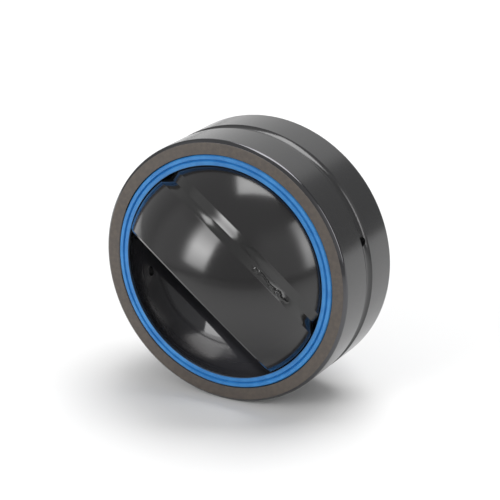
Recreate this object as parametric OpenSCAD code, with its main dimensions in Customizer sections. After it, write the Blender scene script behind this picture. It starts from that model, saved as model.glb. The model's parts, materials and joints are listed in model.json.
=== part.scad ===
// Spherical plain bearing with a lip seal on each side.
// The ring axis lies along Y with the front towards -Y, and the ball centre is the origin.
// Sections are drawn as radius by distance along the axis, and turned into solids.

/* [Rings] */
// Diameter of the bore through the inner ring
bore_d = 45; // [36:0.5:80]
// Wall of the inner ring at its middle, from the bore to the ball
ball_wall = 7.5; // [7:0.1:12]
// Wall of the outer ring at its middle, from the ball to the outside
outer_wall = 4; // [3:0.1:10]
// Width of the outer ring
outer_w = 25; // [20:0.5:28]
// Width of the inner ring over its end faces
inner_w = 32; // [28:0.5:36]

/* [Fits] */
// Gap between the ball and its seat in the outer ring
seat_gap = 0.1; // [0.05:0.01:0.2]
// Gap between the ball and the lips of a seal
lip_gap = 0.1; // [0.05:0.01:0.2]
// Gap between a seal and the wall of its pocket
pocket_gap = 0.05; // [0.02:0.01:0.1]

/* [Outer ring edges] */
// Width of the edge bevel, measured on the end face
bevel_face = 0.8; // [0.6:0.05:1.4]
// Width of the edge bevel, measured on the outside
bevel_side = 0.65; // [0.4:0.05:1.5]
// Radius between the bevel and the end face
face_round = 0.3; // [0.1:0.1:0.8]
// Radius between the bevel and the outside
side_round = 1; // [0.2:0.1:1.2]

/* [Outer ring grease groove] */
// Width of the groove round the outside
outer_groove_w = 3.4; // [2.8:0.1:5]
// Depth of the groove round the outside
outer_groove_depth = 0.7; // [0.5:0.1:1.3]
// Diameter of the grease holes in that groove
outer_hole_d = 2.4; // [1.5:0.1:2.8]
// Number of grease holes in that groove
outer_holes = 2; // [1:1:6]
// Direction of the first grease hole, from +X towards +Z
outer_hole_angle = 17.5; // [0:0.5:90]

/* [Outer ring split] */
// Width of the split that lets the ring open over the ball
split_w = 0.08; // [0.05:0.01:0.3]
// Direction of the split, from +X towards +Z
split_angle = -72.5; // [-88:0.5:-30]

/* [Inner ring details] */
// Width of the grease groove round the ball
ball_groove_w = 4.6; // [3:0.1:6]
// Depth of the grease groove round the ball
ball_groove_depth = 0.85; // [0.5:0.05:1.4]
// Width of the grease groove inside the bore
bore_groove_w = 3; // [2.6:0.1:6]
// Depth of the grease groove inside the bore
bore_groove_depth = 0.8; // [0.5:0.1:1.3]
// Diameter of the grease holes from the bore to the ball
inner_hole_d = 2.5; // [1.5:0.1:2.6]
// Number of grease holes from the bore to the ball
inner_holes = 2; // [1:1:6]
// Direction of the first of them, from the side to which the bore leans
inner_hole_angle = 110; // [0:1:180]
// Width of the lead-in bevel at each end of the bore
bore_bevel = 0.8; // [0.4:0.1:1.2]
// Width of the broken edge between the ball and an end face
rim_break = 0.35; // [0.1:0.05:0.8]

/* [Seals] */
// Width of a seal on the end face, from its lip to its pocket
seal_w = 2.75; // [2.3:0.05:3.2]
// Depth of a seal's pocket
pocket_depth = 1.8; // [1.5:0.1:3.8]
// Height of the undercut at the bottom of the pocket
undercut_h = 0.8; // [0.5:0.1:1.2]
// How far the undercut reaches past the wall of the pocket
undercut = 0.4; // [0.2:0.05:0.6]
// Bevel on the mouth of the pocket
mouth_break = 0.2; // [0.1:0.05:0.3]
// Width of the bevel on a seal's outer corner, measured on its face
seal_bevel_w = 0.25; // [0.1:0.05:0.6]
// Depth of that bevel, measured along the pocket
seal_bevel_h = 0.3; // [0.1:0.05:0.7]
// Distance from the lip to the line pressed into a seal's face
line_from_lip = 1.4; // [1.2:0.05:1.8]
// Width of the line pressed into a seal's face
line_w = 0.6; // [0.3:0.05:0.7]
// Depth of the line pressed into a seal's face
line_depth = 0.5; // [0.3:0.05:0.8]
// Radius that rounds the front of a seal's lip
lip_round = 0.1; // [0.05:0.05:0.5]
// Radius of the channel that parts the two lips of a seal
lip_channel_r = 0.3; // [0.2:0.05:0.4]

/* [Pose] */
// Angle between the bore and the outer ring's axis
tilt = 54.5; // [0:0.5:90]
// Direction in which the front of the bore leans, from +X towards +Z
lean_angle = -127.5; // [-180:0.5:180]

/* [Hidden] */
$fn = 180;
// Overshoot of every cut past the surface that it opens
cut = 1;
// The rings are laid out from the bore outwards
bore_r = bore_d / 2;
ball_r = bore_r + ball_wall;
outer_r = ball_r + outer_wall;
outer_d = 2 * outer_r;
half_w = outer_w / 2;
inner_half_w = inner_w / 2;
seat_r = ball_r + seat_gap;
lip_r = ball_r + lip_gap;
// Radius of the ball's rim, where it meets an end face
rim_r = sqrt(ball_r * ball_r - inner_half_w * inner_half_w);
// Radius of a seal's lip at the end face
mouth_r = sqrt(lip_r * lip_r - half_w * half_w);
pocket_r = mouth_r + seal_w;
pocket_floor = half_w - pocket_depth;
// Centre of the rounding on a seal's lip, which runs out on the end face and beside the ball
nose_at = half_w - lip_round;
nose_r = sqrt((lip_r + lip_round) * (lip_r + lip_round) - nose_at * nose_at);
// Middle of a seal's lips along the axis, and the lips' radius there
channel_at = (pocket_floor + nose_at * lip_r / (lip_r + lip_round)) / 2;
channel_r = sqrt(lip_r * lip_r - channel_at * channel_at);
line_r = mouth_r + line_from_lip;
// Angle that the split takes out of the full turn
split_turn = 2 * asin(split_w / outer_d);
// The ball turns about this line, square to both axes
tilt_axis = [-sin(lean_angle), 0, cos(lean_angle)];

function unit(v) = v / norm(v);
// Radius of an arc from the width and depth of what it cuts
function arc_radius(w, depth) = (w * w / 4 + depth * depth) / (2 * depth);

// Lays the turning axis along Y, with the section's positive side to the front
module on_axis() {
    rotate([90, 0, 0]) children();
}

// Draws a section's detail at both ends
module both_ends() {
    children();
    mirror([0, 1]) children();
}

// Arc-shaped groove cut into an outside surface of the given radius
module groove_outside(r, w, depth) {
    arc = arc_radius(w, depth);
    translate([r + arc - depth, 0]) circle(arc);
}

// Arc-shaped groove cut into an inside surface of the given radius
module groove_inside(r, w, depth) {
    arc = arc_radius(w, depth);
    translate([r - arc + depth, 0]) circle(arc);
}

// V-shaped groove cut into a ball of the given radius
module groove_in_ball(r, w, depth) {
    rise = sqrt(r * r - w * w / 4) - r + depth;
    reach = (depth + cut) / rise * w / 2;
    polygon([[r - depth, 0], [r + cut, reach], [r + cut, -reach]]);
}

// Sliver that rounds the corner at p, between edges that leave it along a and b
module corner_sliver(p, a, b, radius) {
    half = acos(a * b) / 2;
    reach = radius / tan(half);
    centre = p + unit(a + b) * radius / sin(half);
    difference() {
        polygon([p + a * reach, p - unit(a + b) * cut, p + b * reach, centre]);
        translate(centre) circle(radius);
    }
}

// Bevel with rounded corners on the outer edge of the outer ring
module edge_bevel() {
    on_face = [outer_r - bevel_face, half_w];
    on_side = [outer_r, half_w - bevel_side];
    slope = unit(on_side - on_face);
    polygon([on_face, on_side, [outer_r + cut, half_w - bevel_side], [outer_r + cut, half_w + cut],
        [outer_r - bevel_face, half_w + cut]]);
    corner_sliver(on_face, [-1, 0], slope, face_round);
    corner_sliver(on_side, [0, -1], -slope, side_round);
}

// Room for a seal: a stepped pocket with an undercut and a bevelled mouth
module seal_pocket() {
    translate([0, pocket_floor]) square([pocket_r, pocket_depth + cut]);
    translate([0, pocket_floor]) square([pocket_r + undercut, undercut_h]);
    polygon([[pocket_r, half_w - mouth_break], [pocket_r + mouth_break + cut, half_w + cut],
        [pocket_r, half_w + cut]]);
}

// Sliver that rounds the front of a seal's lip
module lip_sliver() {
    nose = [nose_r, nose_at];
    difference() {
        polygon([nose, [nose_r, half_w + cut], [mouth_r - cut, half_w + cut],
            nose * (lip_r - cut) / (lip_r + lip_round)]);
        translate(nose) circle(lip_round);
    }
}

module outer_section() {
    difference() {
        translate([0, -half_w]) square([outer_r, outer_w]);
        circle(seat_r);
        groove_outside(outer_r, outer_groove_w, outer_groove_depth);
        both_ends() edge_bevel();
        both_ends() seal_pocket();
    }
}

module seal_section() {
    wall_r = pocket_r - pocket_gap;
    difference() {
        union() {
            translate([0, pocket_floor]) square([wall_r, pocket_depth]);
            translate([0, pocket_floor]) square([wall_r + undercut, undercut_h - pocket_gap]);
        }
        circle(lip_r);
        lip_sliver();
        translate([channel_r, channel_at]) circle(lip_channel_r);
        polygon([[line_r, half_w - line_depth], [line_r + line_w / 2, half_w],
            [line_r + line_w / 2, half_w + cut], [line_r - line_w / 2, half_w + cut],
            [line_r - line_w / 2, half_w]]);
        polygon([[wall_r, half_w - seal_bevel_h], [wall_r + cut, half_w - seal_bevel_h],
            [wall_r + cut, half_w + cut], [wall_r - seal_bevel_w, half_w + cut],
            [wall_r - seal_bevel_w, half_w]]);
    }
}

module inner_section() {
    ball_tangent = [inner_half_w, -rim_r] / ball_r;
    difference() {
        intersection() {
            circle(ball_r);
            translate([0, -inner_half_w]) square([ball_r, inner_w]);
        }
        translate([-cut, -inner_half_w - cut]) square([bore_r + cut, inner_w + 2 * cut]);
        groove_inside(bore_r, bore_groove_w, bore_groove_depth);
        groove_in_ball(ball_r, ball_groove_w, ball_groove_depth);
        both_ends() {
            polygon([[bore_r, inner_half_w - bore_bevel], [bore_r + bore_bevel, inner_half_w],
                [bore_r + bore_bevel, inner_half_w + cut], [bore_r - cut, inner_half_w + cut],
                [bore_r - cut, inner_half_w - bore_bevel]]);
            polygon([[rim_r - rim_break, inner_half_w], [rim_r, inner_half_w] + rim_break * ball_tangent,
                [rim_r + cut, inner_half_w + cut]]);
        }
    }
}

// Radial holes, evenly spaced round the axis
module radial_holes(count, first_angle, d, from_r, to_r) {
    for (i = [0 : count - 1])
        rotate([0, 0, first_angle + i * 360 / count])
            translate([from_r, 0, 0])
                rotate([0, 90, 0]) cylinder(d = d, h = to_r - from_r);
}

module outer_ring() {
    color("#6b645f") on_axis() difference() {
        rotate([0, 0, split_angle + split_turn / 2])
            rotate_extrude(angle = 360 - split_turn) outer_section();
        radial_holes(outer_holes, outer_hole_angle, outer_hole_d, seat_r - cut, outer_r + cut);
    }
}

module inner_ring() {
    color("#4a4849") rotate(tilt, tilt_axis) on_axis() difference() {
        rotate_extrude() inner_section();
        radial_holes(inner_holes, lean_angle + inner_hole_angle, inner_hole_d, bore_r - cut, ball_r + cut);
    }
}

module front_seal() {
    color("#3f8fd0") on_axis() rotate_extrude() seal_section();
}

module rear_seal() {
    color("#3f8fd0") mirror([0, 1, 0]) on_axis() rotate_extrude() seal_section();
}

outer_ring();
inner_ring();
front_seal();
rear_seal();
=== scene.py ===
# %% [markdown]
# # The looks of a spherical plain bearing
# A spherical plain bearing is a steel ball with a bore, which swivels in a steel ring with a hollow
# seat. A blue lip seal on each side keeps the grease in. Here the bearing stands on its rim, and its
# ball is turned far out of line, so that the ball's end edge and its grease groove show.
# The solids come from the CAD frame and keep their place and size. Blender adds the finish of each
# surface, the studio and the camera. Sizes of the bearing are in millimetres, those of the studio in
# metres.

# %% Load the frame
import json
import math
import bpy
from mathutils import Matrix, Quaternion, Vector


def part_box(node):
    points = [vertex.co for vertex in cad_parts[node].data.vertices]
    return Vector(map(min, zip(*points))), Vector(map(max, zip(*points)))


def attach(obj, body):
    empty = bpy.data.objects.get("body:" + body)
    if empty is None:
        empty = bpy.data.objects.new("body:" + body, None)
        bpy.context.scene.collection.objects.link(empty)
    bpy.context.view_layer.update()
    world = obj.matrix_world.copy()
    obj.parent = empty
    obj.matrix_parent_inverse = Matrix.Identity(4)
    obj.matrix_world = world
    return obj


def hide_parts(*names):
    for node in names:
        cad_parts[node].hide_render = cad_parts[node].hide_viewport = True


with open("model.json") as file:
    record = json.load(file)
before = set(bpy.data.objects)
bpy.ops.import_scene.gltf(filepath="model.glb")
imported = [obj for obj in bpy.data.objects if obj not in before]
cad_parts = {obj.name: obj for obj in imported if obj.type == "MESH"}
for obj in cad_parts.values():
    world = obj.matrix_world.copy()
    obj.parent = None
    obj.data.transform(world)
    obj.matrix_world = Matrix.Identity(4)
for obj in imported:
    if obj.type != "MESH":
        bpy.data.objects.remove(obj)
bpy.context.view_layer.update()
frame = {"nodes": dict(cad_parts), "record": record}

MM = 0.001
ring_low, ring_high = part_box("outer_ring")
OUTER_R = ring_high.z / MM
HALF_W = ring_high.y / MM
mounts = {mount["name"]: mount for mount in frame["record"]["mounts"]}
BORE_AXIS = Vector(mounts["shaft_bore"]["axis"])
BORE_R = mounts["shaft_bore"]["dims"]["r_mm"]
print("outer ring radius", round(OUTER_R, 2), "mm, half width", round(HALF_W, 2), "mm")

# %% [markdown]
# ## The camera
# The photograph was taken from the front right and from a little above, with a long lens: the two
# ends of the ring look almost equally large. A camera could be placed by eye and nudged, but an
# azimuth, an elevation and a distance can be read and changed, so the place is worked out from them.
# Azimuth 0 looks along +Y.

# %% Place the camera
VIEW_AZIMUTH = math.radians(29.47)
VIEW_ELEVATION = math.radians(20.64)
VIEW_DISTANCE = 510 * MM
VIEW_LENS = 146.4
VIEW_CLIP = 10 * MM
AIM_RIGHT = 0.61 * MM
AIM_UP = 1.91 * MM


def direction(azimuth, elevation):
    """A unit vector from the origin: azimuth 0 is the front, 90 degrees the right side."""
    across = math.cos(elevation)
    return Vector((math.sin(azimuth) * across, -math.cos(azimuth) * across, math.sin(elevation)))


to_camera = direction(VIEW_AZIMUTH, VIEW_ELEVATION)
view_right = Vector((0, 0, 1)).cross(to_camera).normalized()
view_up = to_camera.cross(view_right)
camera_at = to_camera * VIEW_DISTANCE
camera_aim = view_right * AIM_RIGHT + view_up * AIM_UP
bpy.ops.object.select_all(action="DESELECT")
bpy.ops.object.camera_add(location=camera_at,
                          rotation=(camera_aim - camera_at).to_track_quat("-Z", "Y").to_euler())
camera = bpy.context.object
camera.data.lens = VIEW_LENS
camera.data.clip_start = VIEW_CLIP
bpy.context.scene.camera = camera
bpy.context.scene.view_settings.view_transform = "Standard"
print("camera at", [round(c, 3) for c in camera.location])

# %% [markdown]
# ## Shader maths in plain expressions
# A finish that changes over a surface needs many small nodes. Wiring each by hand hides the idea, so
# one small class wraps a socket: sums and products of sockets add Math nodes, and one method adds any
# other node.

# %% Wrap a socket
class Wire:
    """A node tree's socket, on which arithmetic adds Math nodes."""

    def __init__(self, tree, socket=None):
        self.tree = tree
        self.socket = socket

    def node(self, kind, settings=None, sockets=None, out=0):
        """Adds a node of a kind, with its settings first, then its socket values or links."""
        made = self.tree.nodes.new(kind)
        for name, value in (settings or {}).items():
            setattr(made, name, value)
        for name, value in (sockets or {}).items():
            if isinstance(value, Wire):
                self.tree.links.new(value.socket, made.inputs[name])
            else:
                made.inputs[name].default_value = value
        return Wire(self.tree, made.outputs[out]) if made.outputs else made

    def math(self, operation, first, second=0.0):
        return self.node("ShaderNodeMath", {"operation": operation}, {0: first, 1: second})

    def __add__(self, other):
        return self.math("ADD", self, other)

    def __sub__(self, other):
        return self.math("SUBTRACT", self, other)

    def __rsub__(self, other):
        return self.math("SUBTRACT", other, self)

    def __mul__(self, other):
        return self.math("MULTIPLY", self, other)

    def __truediv__(self, other):
        return self.math("DIVIDE", self, other)

    def __abs__(self):
        return self.math("ABSOLUTE", self)

    __radd__ = __add__
    __rmul__ = __mul__

    def sine(self):
        return self.math("SINE", self)

    def hypot(self, other):
        return self.math("SQRT", self * self + other * other)

    def ramp(self, low, high):
        """0 below low, 1 above high and a smooth step between; it falls where low is above high."""
        return self.node("ShaderNodeMapRange", {"interpolation_type": "SMOOTHSTEP"},
                         {"Value": self, "From Min": low, "From Max": high})

    def mix(self, first, second):
        """A colour between two colours, by this value."""
        return self.node("ShaderNodeMix", {"data_type": "RGBA"},
                         {"Factor": self, 6: first, 7: second}, out=2)

    def xyz(self):
        """The three parts of a vector."""
        first = self.node("ShaderNodeSeparateXYZ", {}, {0: self})
        return [Wire(self.tree, socket) for socket in first.socket.node.outputs]

    def pack(self, x, y, z):
        """A vector of three values."""
        return self.node("ShaderNodeCombineXYZ", {}, {0: x, 1: y, 2: z})

    def noise(self, scale, detail=3.0, roughness=0.5):
        """Noise over this vector, from 0 to 1."""
        return self.node("ShaderNodeTexNoise", {}, {
            "Vector": self, "Scale": scale, "Detail": detail, "Roughness": roughness})


def rgb(red, green, blue):
    """A colour as it is read off a screen, from 0 to 255, in the linear form that shaders take."""
    def linear(part):
        share = part / 255
        return share / 12.92 if share <= 0.04045 else ((share + 0.055) / 1.055) ** 2.4
    return (linear(red), linear(green), linear(blue), 1.0)


def new_material(name):
    """A material with an empty tree, and a wire to start from."""
    material = bpy.data.materials.new(name)
    material.use_nodes = True
    material.node_tree.nodes.clear()
    return material, Wire(material.node_tree)


def surface(start, shader):
    """Links a shader to the material's output."""
    start.node("ShaderNodeOutputMaterial", {}, {"Surface": shader})


print("shader helper ready")

# %% [markdown]
# ## The studio
# The photograph's reflections show its studio: a tall softbox at the front left, a wide one overhead,
# a narrow one on the right, a sheet of white paper under the bearing, a white wall behind it and a dim
# room all round. A picture of a studio would light the bearing too, but it would have to be loaded
# from a file. A floor, a world and three area lamps give the same reflections, and each is set by
# sizes and angles that can be read.
#
# The paper comes first. The ball mirrors its front edge as a curve, so the paper has to end there, and
# it lies square to the camera. Towards the camera its colour is painted darker, as painted shade for
# the lamps' falloff. One plane does it all: its colour changes by place, so no second sheet has to lie
# on the floor.

# %% Lay the paper on the floor
FLOOR_SIZE = 4.0
PAPER_SIDE = 0.70
PAPER_FRONT = 0.22
PAPER_BACK = 0.80
PAPER_FADE = 0.04
PAPER_NEAR = 0.06
PAPER_WHITE = (0.775, 0.775, 0.775, 1.0)
# painted shade: the paper's darker colour towards the camera, standing for the lamps' falloff
PAPER_PAINTED_SHADE = (0.56, 0.56, 0.56, 1.0)
FLOOR_GREY = (0.34, 0.34, 0.34, 1.0)
bpy.ops.object.select_all(action="DESELECT")
bpy.ops.mesh.primitive_plane_add(size=FLOOR_SIZE, location=(0, 0, ring_low.z))
floor = bpy.context.object
floor.name = "floor"


def floor_finish():
    """White paper on a grey floor, with painted shade on the paper towards the camera."""
    material, start = new_material("white_paper")
    x, y, _ = start.node("ShaderNodeTexCoord", out="Object").xyz()
    aside = abs(x * math.cos(VIEW_AZIMUTH) + y * math.sin(VIEW_AZIMUTH))
    nearer = x * math.sin(VIEW_AZIMUTH) - y * math.cos(VIEW_AZIMUTH)
    inside = (aside.ramp(PAPER_SIDE + PAPER_FADE, PAPER_SIDE)
              * nearer.ramp(PAPER_FRONT + PAPER_FADE, PAPER_FRONT)
              * nearer.ramp(-PAPER_BACK - PAPER_FADE, -PAPER_BACK))
    # painted shade: the paper's colour darkens towards the camera in place of the lamps' falloff
    paper = nearer.ramp(PAPER_NEAR, PAPER_FRONT).mix(PAPER_WHITE, PAPER_PAINTED_SHADE)
    surface(start, start.node("ShaderNodeBsdfDiffuse", {}, {
        "Color": inside.mix(FLOOR_GREY, paper)}))
    return material


floor.data.materials.append(floor_finish())
print("floor at", round(ring_low.z / MM, 2), "mm")

# %% [markdown]
# ### The room
# Polished steel mirrors the whole room, not only the lamps. The outside of the ring shows a white wall
# behind the bearing and a dim corner beside it, and the ball shows a soft glow beside each standing
# softbox. Walls could be built as planes, but they would cast shadows and stand in the other views.
# A world that changes with the direction of the gaze has neither fault.

# %% Light the room
ROOM_LOW = 0.46
ROOM_HIGH = 0.54
SIDE_GLOW = 0.26
SIDE_AZIMUTHS = (math.radians(-50), math.radians(66))
SIDE_EDGE = (math.cos(math.radians(32)), math.cos(math.radians(12)))
SIDE_TOP = (0.8, 0.5)
CORNER_DIM = 0.36
CORNER_AZIMUTH = math.radians(140)
CORNER_EDGE = (math.cos(math.radians(60)), math.cos(math.radians(25)))
WALL_LOW = 1.05
WALL_HIGH = 0.84
WALL_AZIMUTH = math.radians(-164)
WALL_EDGE = (math.cos(math.radians(32)), math.cos(math.radians(26)))
room = bpy.data.worlds.new("studio_room")
room.use_nodes = True
room.node_tree.nodes.clear()
start = Wire(room.node_tree)
gaze = start.node("ShaderNodeTexCoord", out="Generated")
east, north, upward = gaze.xyz()
level_gaze = start.node("ShaderNodeVectorMath", {"operation": "NORMALIZE"},
                        {0: start.pack(east, north, 0)})


def towards(azimuth, edge):
    """1 where the gaze is close to an azimuth, 0 beyond the edge, which is a pair of cosines."""
    close = start.node("ShaderNodeVectorMath", {"operation": "DOT_PRODUCT"},
                       {0: level_gaze, 1: direction(azimuth, 0)}, out="Value")
    return close.ramp(*edge)


on_wall = towards(WALL_AZIMUTH, WALL_EDGE)
in_corner = towards(CORNER_AZIMUTH, CORNER_EDGE)
at_side = sum(towards(azimuth, SIDE_EDGE) for azimuth in SIDE_AZIMUTHS) * upward.ramp(*SIDE_TOP)
plain_room = upward.ramp(0, 1) * (ROOM_HIGH - ROOM_LOW) + ROOM_LOW
dim_room = (plain_room + at_side * SIDE_GLOW) * (1 - in_corner * CORNER_DIM)
lit_wall = upward.ramp(0, 1) * (WALL_HIGH - WALL_LOW) + WALL_LOW
level = on_wall * lit_wall + (1 - on_wall) * dim_room
room_light = start.node("ShaderNodeBackground", {}, {"Color": (1, 1, 1, 1), "Strength": level})
start.node("ShaderNodeOutputWorld", {}, {"Surface": room_light})
bpy.context.scene.world = room
print("room", ROOM_LOW, "to", ROOM_HIGH, "wall", WALL_LOW, "to", WALL_HIGH)

# %% [markdown]
# ### The softboxes
# A softbox is a lit cloth, brightest where its bulb is. The patches on the ball show this: they fade
# towards one side and towards both ends. A plain area lamp would give flat patches, so each lamp's
# strength changes over its own face. The two standing softboxes face the bearing. The one overhead
# hangs level and is turned about the vertical, and its sides are given by how far they reach.

# %% Hang the softboxes
TOP_LEFT, TOP_RIGHT, TOP_FRONT, TOP_BACK = -0.29, 1.30, -0.25, 1.74
TOP_HEIGHT = 2.0
TOP_TURN = Quaternion((0, 0, 1), math.radians(30))


def hang_softbox(name, place, turn, width, height, level, hot, fall, fade):
    """A lamp as bright as level times white at a hot share of its height, less by fall for each half
    height from there, and fading in from its left edge over a share of its width."""
    bpy.ops.object.select_all(action="DESELECT")
    bpy.ops.object.light_add(type="AREA", location=place, rotation=turn.to_euler())
    lamp = bpy.context.object
    lamp.name = name
    lamp.data.shape = "RECTANGLE"
    lamp.data.size = width
    lamp.data.size_y = height
    lamp.data.energy = level * math.pi * width * height
    lamp.visible_camera = False
    lamp.data.use_nodes = True
    lamp.data.node_tree.nodes.clear()
    start = Wire(lamp.data.node_tree)
    u, v, _ = start.node("ShaderNodeNewGeometry", out="Parametric").xyz()
    fade_in = u.ramp(0, fade)
    strength = (1 - abs(v - hot) * (2 * fall)) * fade_in * fade_in
    glow = start.node("ShaderNodeEmission", {}, {"Strength": strength})
    start.node("ShaderNodeOutputLight", {}, {"Surface": glow})
    print(name, [round(c, 2) for c in lamp.location], round(lamp.data.energy, 1), "W")


def facing_softbox(name, distance, azimuth, elevation, spans, roll, **glow):
    """A softbox that faces the bearing, spans two angles in degrees, its width and its height, and is
    rolled about its own middle."""
    outwards = direction(math.radians(azimuth), math.radians(elevation))
    turn = outwards.to_track_quat("Z", "Y") @ Quaternion((0, 0, 1), math.radians(roll))
    width, height = (2 * distance * math.tan(math.radians(span / 2)) for span in spans)
    hang_softbox(name, outwards * distance, turn, width, height, **glow)


facing_softbox("front_softbox", distance=0.8, azimuth=-23.9, elevation=24.6, spans=(33.1, 37.2),
               roll=-10, level=8.2, hot=0.45, fall=0.65, fade=0.48)
facing_softbox("right_softbox", distance=2.0, azimuth=88, elevation=22, spans=(20, 40),
               roll=0, level=4.7, hot=0.45, fall=0.45, fade=0.65)
top_middle = TOP_TURN @ Vector(((TOP_LEFT + TOP_RIGHT) / 2, (TOP_FRONT + TOP_BACK) / 2, TOP_HEIGHT))
hang_softbox("top_softbox", top_middle, TOP_TURN, TOP_RIGHT - TOP_LEFT, TOP_BACK - TOP_FRONT,
             level=5.6, hot=0.15, fall=0.32, fade=0.02)

# %% [markdown]
# ## Turning the outer ring
# The real ring is turned on a lathe, ground, and then broken at one place so that it can be sprung
# open over the ball. The CAD ring has the right shape, but its mesh has few faces along the outside,
# so reflections bend there, and its break is a straight slit. So the ring is turned again here as on a
# lathe. First comes its section: the seat, a pocket with its undercut for each seal, the end face, the
# bevel with its two rounded edges, and the grease groove. Both halves are alike, so one is drawn and
# the other is its mirror image.

# %% Draw the ring's section
SEAT_GAP = 0.1
POCKET_DEPTH = 1.8
SEAL_W = 2.75
UNDERCUT = 0.4
UNDERCUT_H = 0.8
MOUTH_BREAK = 0.2
BEVEL_FACE = 0.8
BEVEL_SIDE = 0.65
FACE_ROUND = 0.3
SIDE_ROUND = 1.0
GROOVE_W = 3.4
GROOVE_DEPTH = 0.7
SEAT_STEPS = 24
FACE_STEPS = 4
FACE_ROUND_STEPS = 5
SIDE_ROUND_STEPS = 10
SIDE_STEPS = 10
GROOVE_STEPS = 8
BALL_R = max(v.co.length for v in frame["nodes"]["inner_ring"].data.vertices) / MM
SEAT_R = BALL_R + SEAT_GAP
POCKET_FLOOR = HALF_W - POCKET_DEPTH
POCKET_R = math.sqrt(SEAT_R ** 2 - HALF_W ** 2) + SEAL_W


def arc(centre_r, centre_y, radius, first, last, steps):
    """Points of an arc in the section, as pairs of a radius and a place along the axis."""
    angles = [first + (last - first) * step / steps for step in range(steps + 1)]
    return [(centre_r + radius * math.cos(a), centre_y + radius * math.sin(a)) for a in angles]


def between(first, last, steps):
    """Points that divide a straight edge of the section, without its two ends."""
    return [tuple(a + (b - a) * step / steps for a, b in zip(first, last))
            for step in range(1, steps)]


def half_section():
    """The section from the middle of the seat, round the rear end, to the middle of the outside."""
    slope = math.atan2(BEVEL_SIDE, BEVEL_FACE)
    bevel_turn = math.pi / 2 - slope
    seat_end = math.asin(POCKET_FLOOR / SEAT_R)
    groove_r = (GROOVE_W ** 2 / 4 + GROOVE_DEPTH ** 2) / (2 * GROOVE_DEPTH)
    groove_edge = math.asin(GROOVE_W / 2 / groove_r)
    face_end = OUTER_R - BEVEL_FACE - FACE_ROUND * math.tan(slope / 2)
    side_end = HALF_W - BEVEL_SIDE - SIDE_ROUND * math.tan(bevel_turn / 2)
    points = arc(0, 0, SEAT_R, 0, seat_end, SEAT_STEPS)
    points += [(POCKET_R + UNDERCUT, POCKET_FLOOR),
               (POCKET_R + UNDERCUT, POCKET_FLOOR + UNDERCUT_H),
               (POCKET_R, POCKET_FLOOR + UNDERCUT_H),
               (POCKET_R, HALF_W - MOUTH_BREAK),
               (POCKET_R + MOUTH_BREAK, HALF_W)]
    points += between(points[-1], (face_end, HALF_W), FACE_STEPS)
    points += arc(face_end, HALF_W - FACE_ROUND, FACE_ROUND, math.pi / 2, bevel_turn,
                  FACE_ROUND_STEPS)
    points += arc(OUTER_R - SIDE_ROUND, side_end, SIDE_ROUND, bevel_turn, 0, SIDE_ROUND_STEPS)
    points += between((OUTER_R, side_end), (OUTER_R, GROOVE_W / 2), SIDE_STEPS)
    points += arc(OUTER_R + groove_r - GROOVE_DEPTH, 0, groove_r, math.pi - groove_edge, math.pi,
                  GROOVE_STEPS)
    return points


rear_half = half_section()
front_half = [(radius, -along) for radius, along in reversed(rear_half)][1:-1]
ring_section = rear_half + front_half
print("section of", len(ring_section), "points")

# %% [markdown]
# ### From the section to the ring
# A Screw or a lathe tool would close the ring. This one stays open by the width of its break, so the
# section is drawn by extruding one vertex from point to point, and Spin sweeps it almost all the way
# round. Filling the two open ends makes the ring solid.

# %% Spin the section
SPLIT_ANGLE = math.radians(-72.5)
SPLIT_W = 0.02
RING_STEPS = 240
WELD = 0.0005 * MM


def extrude_along(points):
    """Draws an open line of edges: a plane is merged to its first point, and extruded to each other
    point."""
    bpy.ops.object.select_all(action="DESELECT")
    bpy.ops.mesh.primitive_plane_add(size=MM, location=points[0])
    bpy.ops.object.transform_apply(location=True)
    bpy.ops.object.mode_set(mode="EDIT")
    bpy.ops.mesh.select_all(action="SELECT")
    bpy.ops.mesh.merge(type="CENTER")
    for here, there in zip(points, points[1:]):
        step = Vector(there) - Vector(here)
        bpy.ops.mesh.extrude_vertices_move(TRANSFORM_OT_translate={"value": step})
    return bpy.context.object


def round_axis(radius, along, angle):
    """A point in metres at a radius from the Y axis, in a direction from +X towards +Z."""
    return Vector((radius * math.cos(angle), along, radius * math.sin(angle))) * MM


split_turn = SPLIT_W / OUTER_R
first_end = SPLIT_ANGLE - split_turn / 2
ring = extrude_along([round_axis(r, y, first_end) for r, y in ring_section + ring_section[:1]])
ring.name = "turned_outer_ring"
bpy.ops.mesh.select_all(action="SELECT")
bpy.ops.mesh.spin(steps=RING_STEPS, angle=2 * math.pi - split_turn, center=(0, 0, 0),
                  axis=(0, -1, 0))
bpy.ops.mesh.select_all(action="SELECT")
bpy.ops.mesh.remove_doubles(threshold=WELD)
bpy.ops.mesh.fill_holes(sides=0)
bpy.ops.mesh.select_all(action="SELECT")
bpy.ops.mesh.normals_make_consistent(inside=False)
bpy.ops.object.mode_set(mode="OBJECT")
print("spun ring with", len(ring.data.polygons), "faces")

# %% [markdown]
# ### The break
# Hardened steel breaks along a jagged line, and the two ends fit together. A cut by a thin box would
# be straight, so both ends are moved round the ring by the same amount, which changes along the axis
# as the sum of a slow wave and a quick one.

# %% Break the ring
JAG_WAVES = ((0.26, 1.7, 0.0), (0.16, 4.6, 1.0))


def jag(along):
    """How far the break wanders round the ring, in millimetres, at a place along the axis."""
    return sum(size * math.sin(rate * along + phase) for size, rate, phase in JAG_WAVES)


split_ends = 0
for vertex in ring.data.vertices:
    turn = math.atan2(vertex.co.z, vertex.co.x)
    if abs(turn - SPLIT_ANGLE) < split_turn:
        radius = math.hypot(vertex.co.x, vertex.co.z) / MM
        along = vertex.co.y / MM
        vertex.co = round_axis(radius, along, turn + jag(along) / OUTER_R)
        split_ends += 1
print("break wanders through", split_ends, "vertices")

# %% [markdown]
# ### The grease holes
# Grease is pressed into the groove on the outside and reaches the seat through two holes, one opposite
# the other. A dark spot would look much the same from afar, but a Boolean drills real holes through
# the wall, as a drill does. The shading is then made smooth, and stays sharp at the corners.

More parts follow.
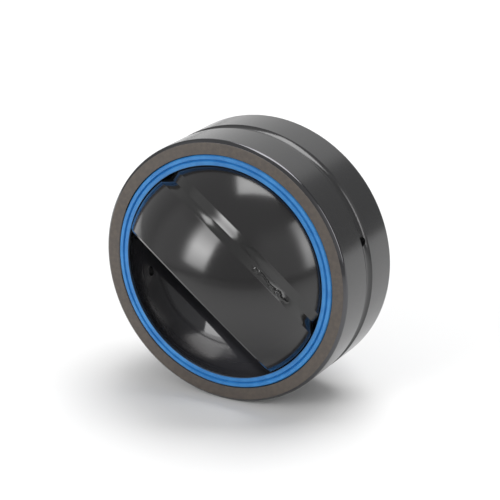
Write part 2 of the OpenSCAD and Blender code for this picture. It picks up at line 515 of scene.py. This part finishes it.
# %% Drill the grease holes
HOLE_D = 2.4
HOLE_ANGLES = (math.radians(17.5), math.radians(197.5))
HOLE_SIDES = 48
DRILL_LENGTH = HOLE_D * 4
SHARP_ANGLE = math.radians(30)
hole_middle = (SEAT_R + OUTER_R) / 2
for angle in HOLE_ANGLES:
    bpy.ops.object.select_all(action="DESELECT")
    bpy.ops.mesh.primitive_cylinder_add(
        vertices=HOLE_SIDES, radius=HOLE_D / 2 * MM, depth=DRILL_LENGTH * MM,
        location=round_axis(hole_middle, 0, angle), rotation=(0, math.pi / 2 - angle, 0))
    drill = bpy.context.object
    bpy.context.view_layer.objects.active = ring
    cut = ring.modifiers.new("grease_hole", "BOOLEAN")
    cut.operation = "DIFFERENCE"
    cut.object = drill
    bpy.ops.object.modifier_apply(modifier=cut.name)
    bpy.data.objects.remove(drill)
print("drilled ring has", len(ring.data.polygons), "faces")


def shade_turned(piece):
    """Smooth shading that stays flat on wide faces and sharp at corners."""
    bpy.ops.object.select_all(action="DESELECT")
    piece.select_set(True)
    bpy.context.view_layer.objects.active = piece
    bpy.ops.object.shade_smooth_by_angle(angle=SHARP_ANGLE)
    even = piece.modifiers.new("even_normals", "WEIGHTED_NORMAL")
    even.keep_sharp = True
    bpy.ops.object.modifier_apply(modifier=even.name)


shade_turned(ring)
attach(ring, "outer")
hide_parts("outer_ring")

# %% [markdown]
# ## Blackened steel of the outer ring
# The ring is turned, hardened, ground and phosphated. Its ground surfaces, the outside and the seat,
# are dark and satin under a film of oil, its bevels are brighter metal, and its end faces are matt and
# slightly brown. The seat's colour is lighter than the outside's: painted light that lifts the shaded
# recess. One material could be split over several slots, but the solid has one, so masks by place
# choose the finish: how far a point lies along the axis, from the axis and from the ball's centre.

# %% Finish the outer ring
GROUND_STEEL = rgb(34, 34, 35)
# painted light: the seat's colour is lifted above the outside's to brighten the shaded recess
SEAT_STEEL_AND_PAINTED_LIGHT = rgb(57, 57, 61)
BEVEL_STEEL = rgb(87, 87, 89)
MATT_BROWN = rgb(78, 69, 60)
MATT_DARK = rgb(65, 57, 51)
OIL_FILM_IOR = 1.62
MASK_OUT, MASK_IN = 0.06, 0.02
BEVEL_MASK_OUT, BEVEL_MASK_IN = 1.15, 0.95
MOTTLE_SCALE = 0.9
MOTTLE_EDGE = (0.35, 0.7)
SPECK_SCALE = 4.5
SPECK_HEIGHT = 0.003
OUTSIDE_LINES = 9.0
FACE_LINES = 7.0
LINE_STRETCH = 3.0
LINE_HEIGHT = 0.0008
SEAT_LINE_LOSS = 0.0006
GROUND_ROUGH, GROUND_SPREAD = 0.16, 0.06
SEAT_POLISH = 0.12
BEVEL_POLISH = 0.1
FACE_ROUGH, FACE_SPREAD = 0.46, 0.1
RING_BUMP = 0.6


def millimetres(start):
    """Object coordinates in millimetres."""
    return start.node("ShaderNodeVectorMath", {"operation": "SCALE"},
                      {0: start.node("ShaderNodeTexCoord", out="Object"), "Scale": 1 / MM})


def turning_marks(place, radial, across, stretch):
    """Fine lines that run round the Y axis, with no seam: noise over the direction from the axis and a
    value that changes across the lines."""
    x, _, z = place.xyz()
    return place.pack(x / radial * stretch, across, z / radial * stretch).noise(1.0, detail=4.0)


def ring_finish():
    """Ground outside, polished seat with painted light in its colour, bare bevels and matt end faces.
    """
    material, start = new_material("blackened_ring")
    place = millimetres(start)
    x, y, z = place.xyz()
    axial = abs(y)
    radial = x.hypot(z)
    from_centre = radial.hypot(y)
    on_face = axial.ramp(HALF_W - MASK_OUT, HALF_W - MASK_IN)
    on_seat = from_centre.ramp(SEAT_R + MASK_OUT, SEAT_R + MASK_IN)
    near_end = axial.ramp(HALF_W - BEVEL_MASK_OUT, HALF_W - BEVEL_MASK_IN)
    on_bevel = near_end * (1 - on_face) * (1 - on_seat)
    mottle = place.noise(MOTTLE_SCALE, detail=5.0, roughness=0.65)
    specks = place.noise(SPECK_SCALE, detail=2.0)
    face_colour = mottle.ramp(*MOTTLE_EDGE).mix(MATT_DARK, MATT_BROWN)
    # the seat's lighter colour is painted light in the recess
    bare_colour = on_seat.mix(GROUND_STEEL, SEAT_STEEL_AND_PAINTED_LIGHT)
    colour = on_bevel.mix(on_face.mix(bare_colour, face_colour), BEVEL_STEEL)
    marks = turning_marks(place, radial, y * OUTSIDE_LINES, LINE_STRETCH)
    rings = turning_marks(place, radial, radial * FACE_LINES, LINE_STRETCH)
    lines = on_face * rings + (1 - on_face) * marks
    smooth = GROUND_ROUGH + GROUND_SPREAD * marks - on_seat * SEAT_POLISH - on_bevel * BEVEL_POLISH
    roughness = on_face * (FACE_ROUGH + FACE_SPREAD * mottle) + (1 - on_face) * smooth
    height = lines * (LINE_HEIGHT - on_seat * SEAT_LINE_LOSS) + on_face * specks * SPECK_HEIGHT
    bump = start.node("ShaderNodeBump", {}, {
        "Strength": RING_BUMP, "Distance": MM, "Height": height})
    surface(start, start.node("ShaderNodeBsdfPrincipled", {}, {
        "Base Color": colour, "Metallic": on_bevel, "Roughness": roughness, "IOR": OIL_FILM_IOR,
        "Normal": bump}))
    return material


ring.data.materials.append(ring_finish())
print(ring.name, "wears", ring.data.materials[0].name)

# %% [markdown]
# ## The polished ball
# The ball slides on its seat, so it is ground and polished until it shows the softboxes as patches
# with clear edges. Its grease groove was only turned: its walls swell slightly, and a bead of grease
# lies in it. Its bore is bare, brighter steel. The bead could be a mesh of its own, but it is a trace
# of use and no part of the bearing, so it is bump, as the turning marks are. The ball is turned out of
# line, so a Mapping node first turns the coordinates into the ball's own frame, where its axis is Y.

# %% Finish the ball
BALL_STEEL = rgb(17, 16, 17)
GROOVE_STEEL = rgb(18, 18, 18)
BORE_STEEL = rgb(112, 110, 109)
BORE_METAL = 0.9
POLISH_MASK_OUT, POLISH_MASK_IN = 0.08, 0.03
BORE_MASK_OUT, BORE_MASK_IN = 0.95, 0.85
BALL_LINES = 6.0
BALL_LINE_STRETCH = 2.5
BALL_LINE_HEIGHT = 0.0003
HAZE_SCALE = 0.25
BALL_ROUGH, BALL_SPREAD = 0.13, 0.04
GROOVE_ROUGH, GROOVE_SPREAD = 0.1, 0.06
BORE_DULLING = 0.12
GROOVE_HALF_W = 2.3
GROOVE_FADE = 0.1
SWELL_START = 1.0
SWELL_HEIGHT = 0.014
SMEAR_ANGLE = math.radians(27)
SMEAR_EDGE = (math.cos(math.radians(13)), math.cos(math.radians(10)))
SMEAR_ALONG = -1.2
SMEAR_WANDER = 2.2
SMEAR_SCALE = 0.45
SMEAR_HALF_W = 0.5
SMEAR_HEIGHT = 0.22
BALL_BUMP = 1.0


def ball_finish():
    """Polished ball, turned groove with a bead of grease, and bare bore."""
    material, start = new_material("polished_ball")
    to_own_axis = BORE_AXIS.rotation_difference(Vector((0, -1, 0))).to_euler()
    place = start.node("ShaderNodeMapping", {"vector_type": "POINT"},
                       {"Vector": millimetres(start), "Rotation": to_own_axis})
    x, y, z = place.xyz()
    axial = abs(y)
    radial = x.hypot(z)
    from_centre = radial.hypot(y)
    polished = from_centre.ramp(BALL_R - POLISH_MASK_OUT, BALL_R - POLISH_MASK_IN)
    in_bore = radial.ramp(BORE_R + BORE_MASK_OUT, BORE_R + BORE_MASK_IN)
    in_groove = axial.ramp(GROOVE_HALF_W, GROOVE_HALF_W - GROOVE_FADE) * (1 - in_bore)
    marks = turning_marks(place, radial, y * BALL_LINES, BALL_LINE_STRETCH)
    haze = place.noise(HAZE_SCALE)
    turned = GROOVE_ROUGH + GROOVE_SPREAD * marks + BORE_DULLING * in_bore
    roughness = polished * (BALL_ROUGH + BALL_SPREAD * haze) + (1 - polished) * turned
    colour = in_bore.mix(polished.mix(GROOVE_STEEL, BALL_STEEL), BORE_STEEL)
    wave = ((axial - SWELL_START) * (2 * math.pi / GROOVE_HALF_W)).sine()
    swell = wave * SWELL_HEIGHT * in_groove
    round_ball = (x * math.cos(SMEAR_ANGLE) + z * math.sin(SMEAR_ANGLE)) / radial
    smeared = round_ball.ramp(*SMEAR_EDGE) * in_groove
    wander = (place.noise(SMEAR_SCALE, detail=2.0) - 0.5) * SMEAR_WANDER
    bead = abs(y - SMEAR_ALONG - wander).ramp(SMEAR_HALF_W, 0) * smeared
    height = marks * BALL_LINE_HEIGHT + swell + bead * SMEAR_HEIGHT
    bump = start.node("ShaderNodeBump", {}, {
        "Strength": BALL_BUMP, "Distance": MM, "Height": height})
    surface(start, start.node("ShaderNodeBsdfPrincipled", {}, {
        "Base Color": colour, "Metallic": BORE_METAL * in_bore, "Roughness": roughness,
        "IOR": OIL_FILM_IOR, "Normal": bump}))
    return material


def dress(node, material):
    """Puts a material in every slot of a CAD node."""
    for slot in frame["nodes"][node].material_slots:
        slot.material = material
    print(node, "wears", material.name)


dress("inner_ring", ball_finish())

# %% [markdown]
# ## The blue seals
# Each seal is moulded in a tough blue rubber, smooth and slightly glossy, with a faint grain from its
# mould. Its lips, close to the ball, get painted shade: a darker colour that stands for the shadow
# there.
# The CAD seal has one slot, so the lips could only get a colour of their own by cutting the mesh,
# which has to stay as it is. A mask by the distance from the ball's centre does it without a cut.

# %% Finish the seals
SEAL_BLUE = rgb(51, 129, 193)
SEAL_DEEP = rgb(38, 114, 180)
# painted shade: the dark colour of the lips next to the ball
LIP_PAINTED_SHADE = rgb(30, 48, 66)
LIP_MASK_OUT, LIP_MASK_IN = 0.42, 0.12
SHADE_SCALE = 0.35
SHADE_EDGE = (0.3, 0.7)
GRAIN_SCALE = 6.0
GRAIN_HEIGHT = 0.01
SEAL_ROUGH, SEAL_SPREAD = 0.34, 0.12
SEAL_BUMP = 0.5
RUBBER_IOR = 1.5


def seal_finish():
    """Blue rubber, with painted shade on the lips."""
    material, start = new_material("blue_rubber")
    place = millimetres(start)
    x, y, z = place.xyz()
    # painted shade: a mask for the lips next to the ball, which get a darker colour
    lip_shade = x.hypot(z).hypot(y).ramp(BALL_R + LIP_MASK_OUT, BALL_R + LIP_MASK_IN)
    shade = place.noise(SHADE_SCALE, detail=4.0)
    grain = place.noise(GRAIN_SCALE, detail=2.0)
    blue = shade.ramp(*SHADE_EDGE).mix(SEAL_DEEP, SEAL_BLUE)
    bump = start.node("ShaderNodeBump", {}, {
        "Strength": SEAL_BUMP, "Distance": MM, "Height": grain * GRAIN_HEIGHT})
    surface(start, start.node("ShaderNodeBsdfPrincipled", {}, {
        "Base Color": lip_shade.mix(blue, LIP_PAINTED_SHADE), "Roughness": SEAL_ROUGH + SEAL_SPREAD * grain,
        "IOR": RUBBER_IOR, "Normal": bump}))
    return material


rubber = seal_finish()
dress("front_seal", rubber)
dress("rear_seal", rubber)
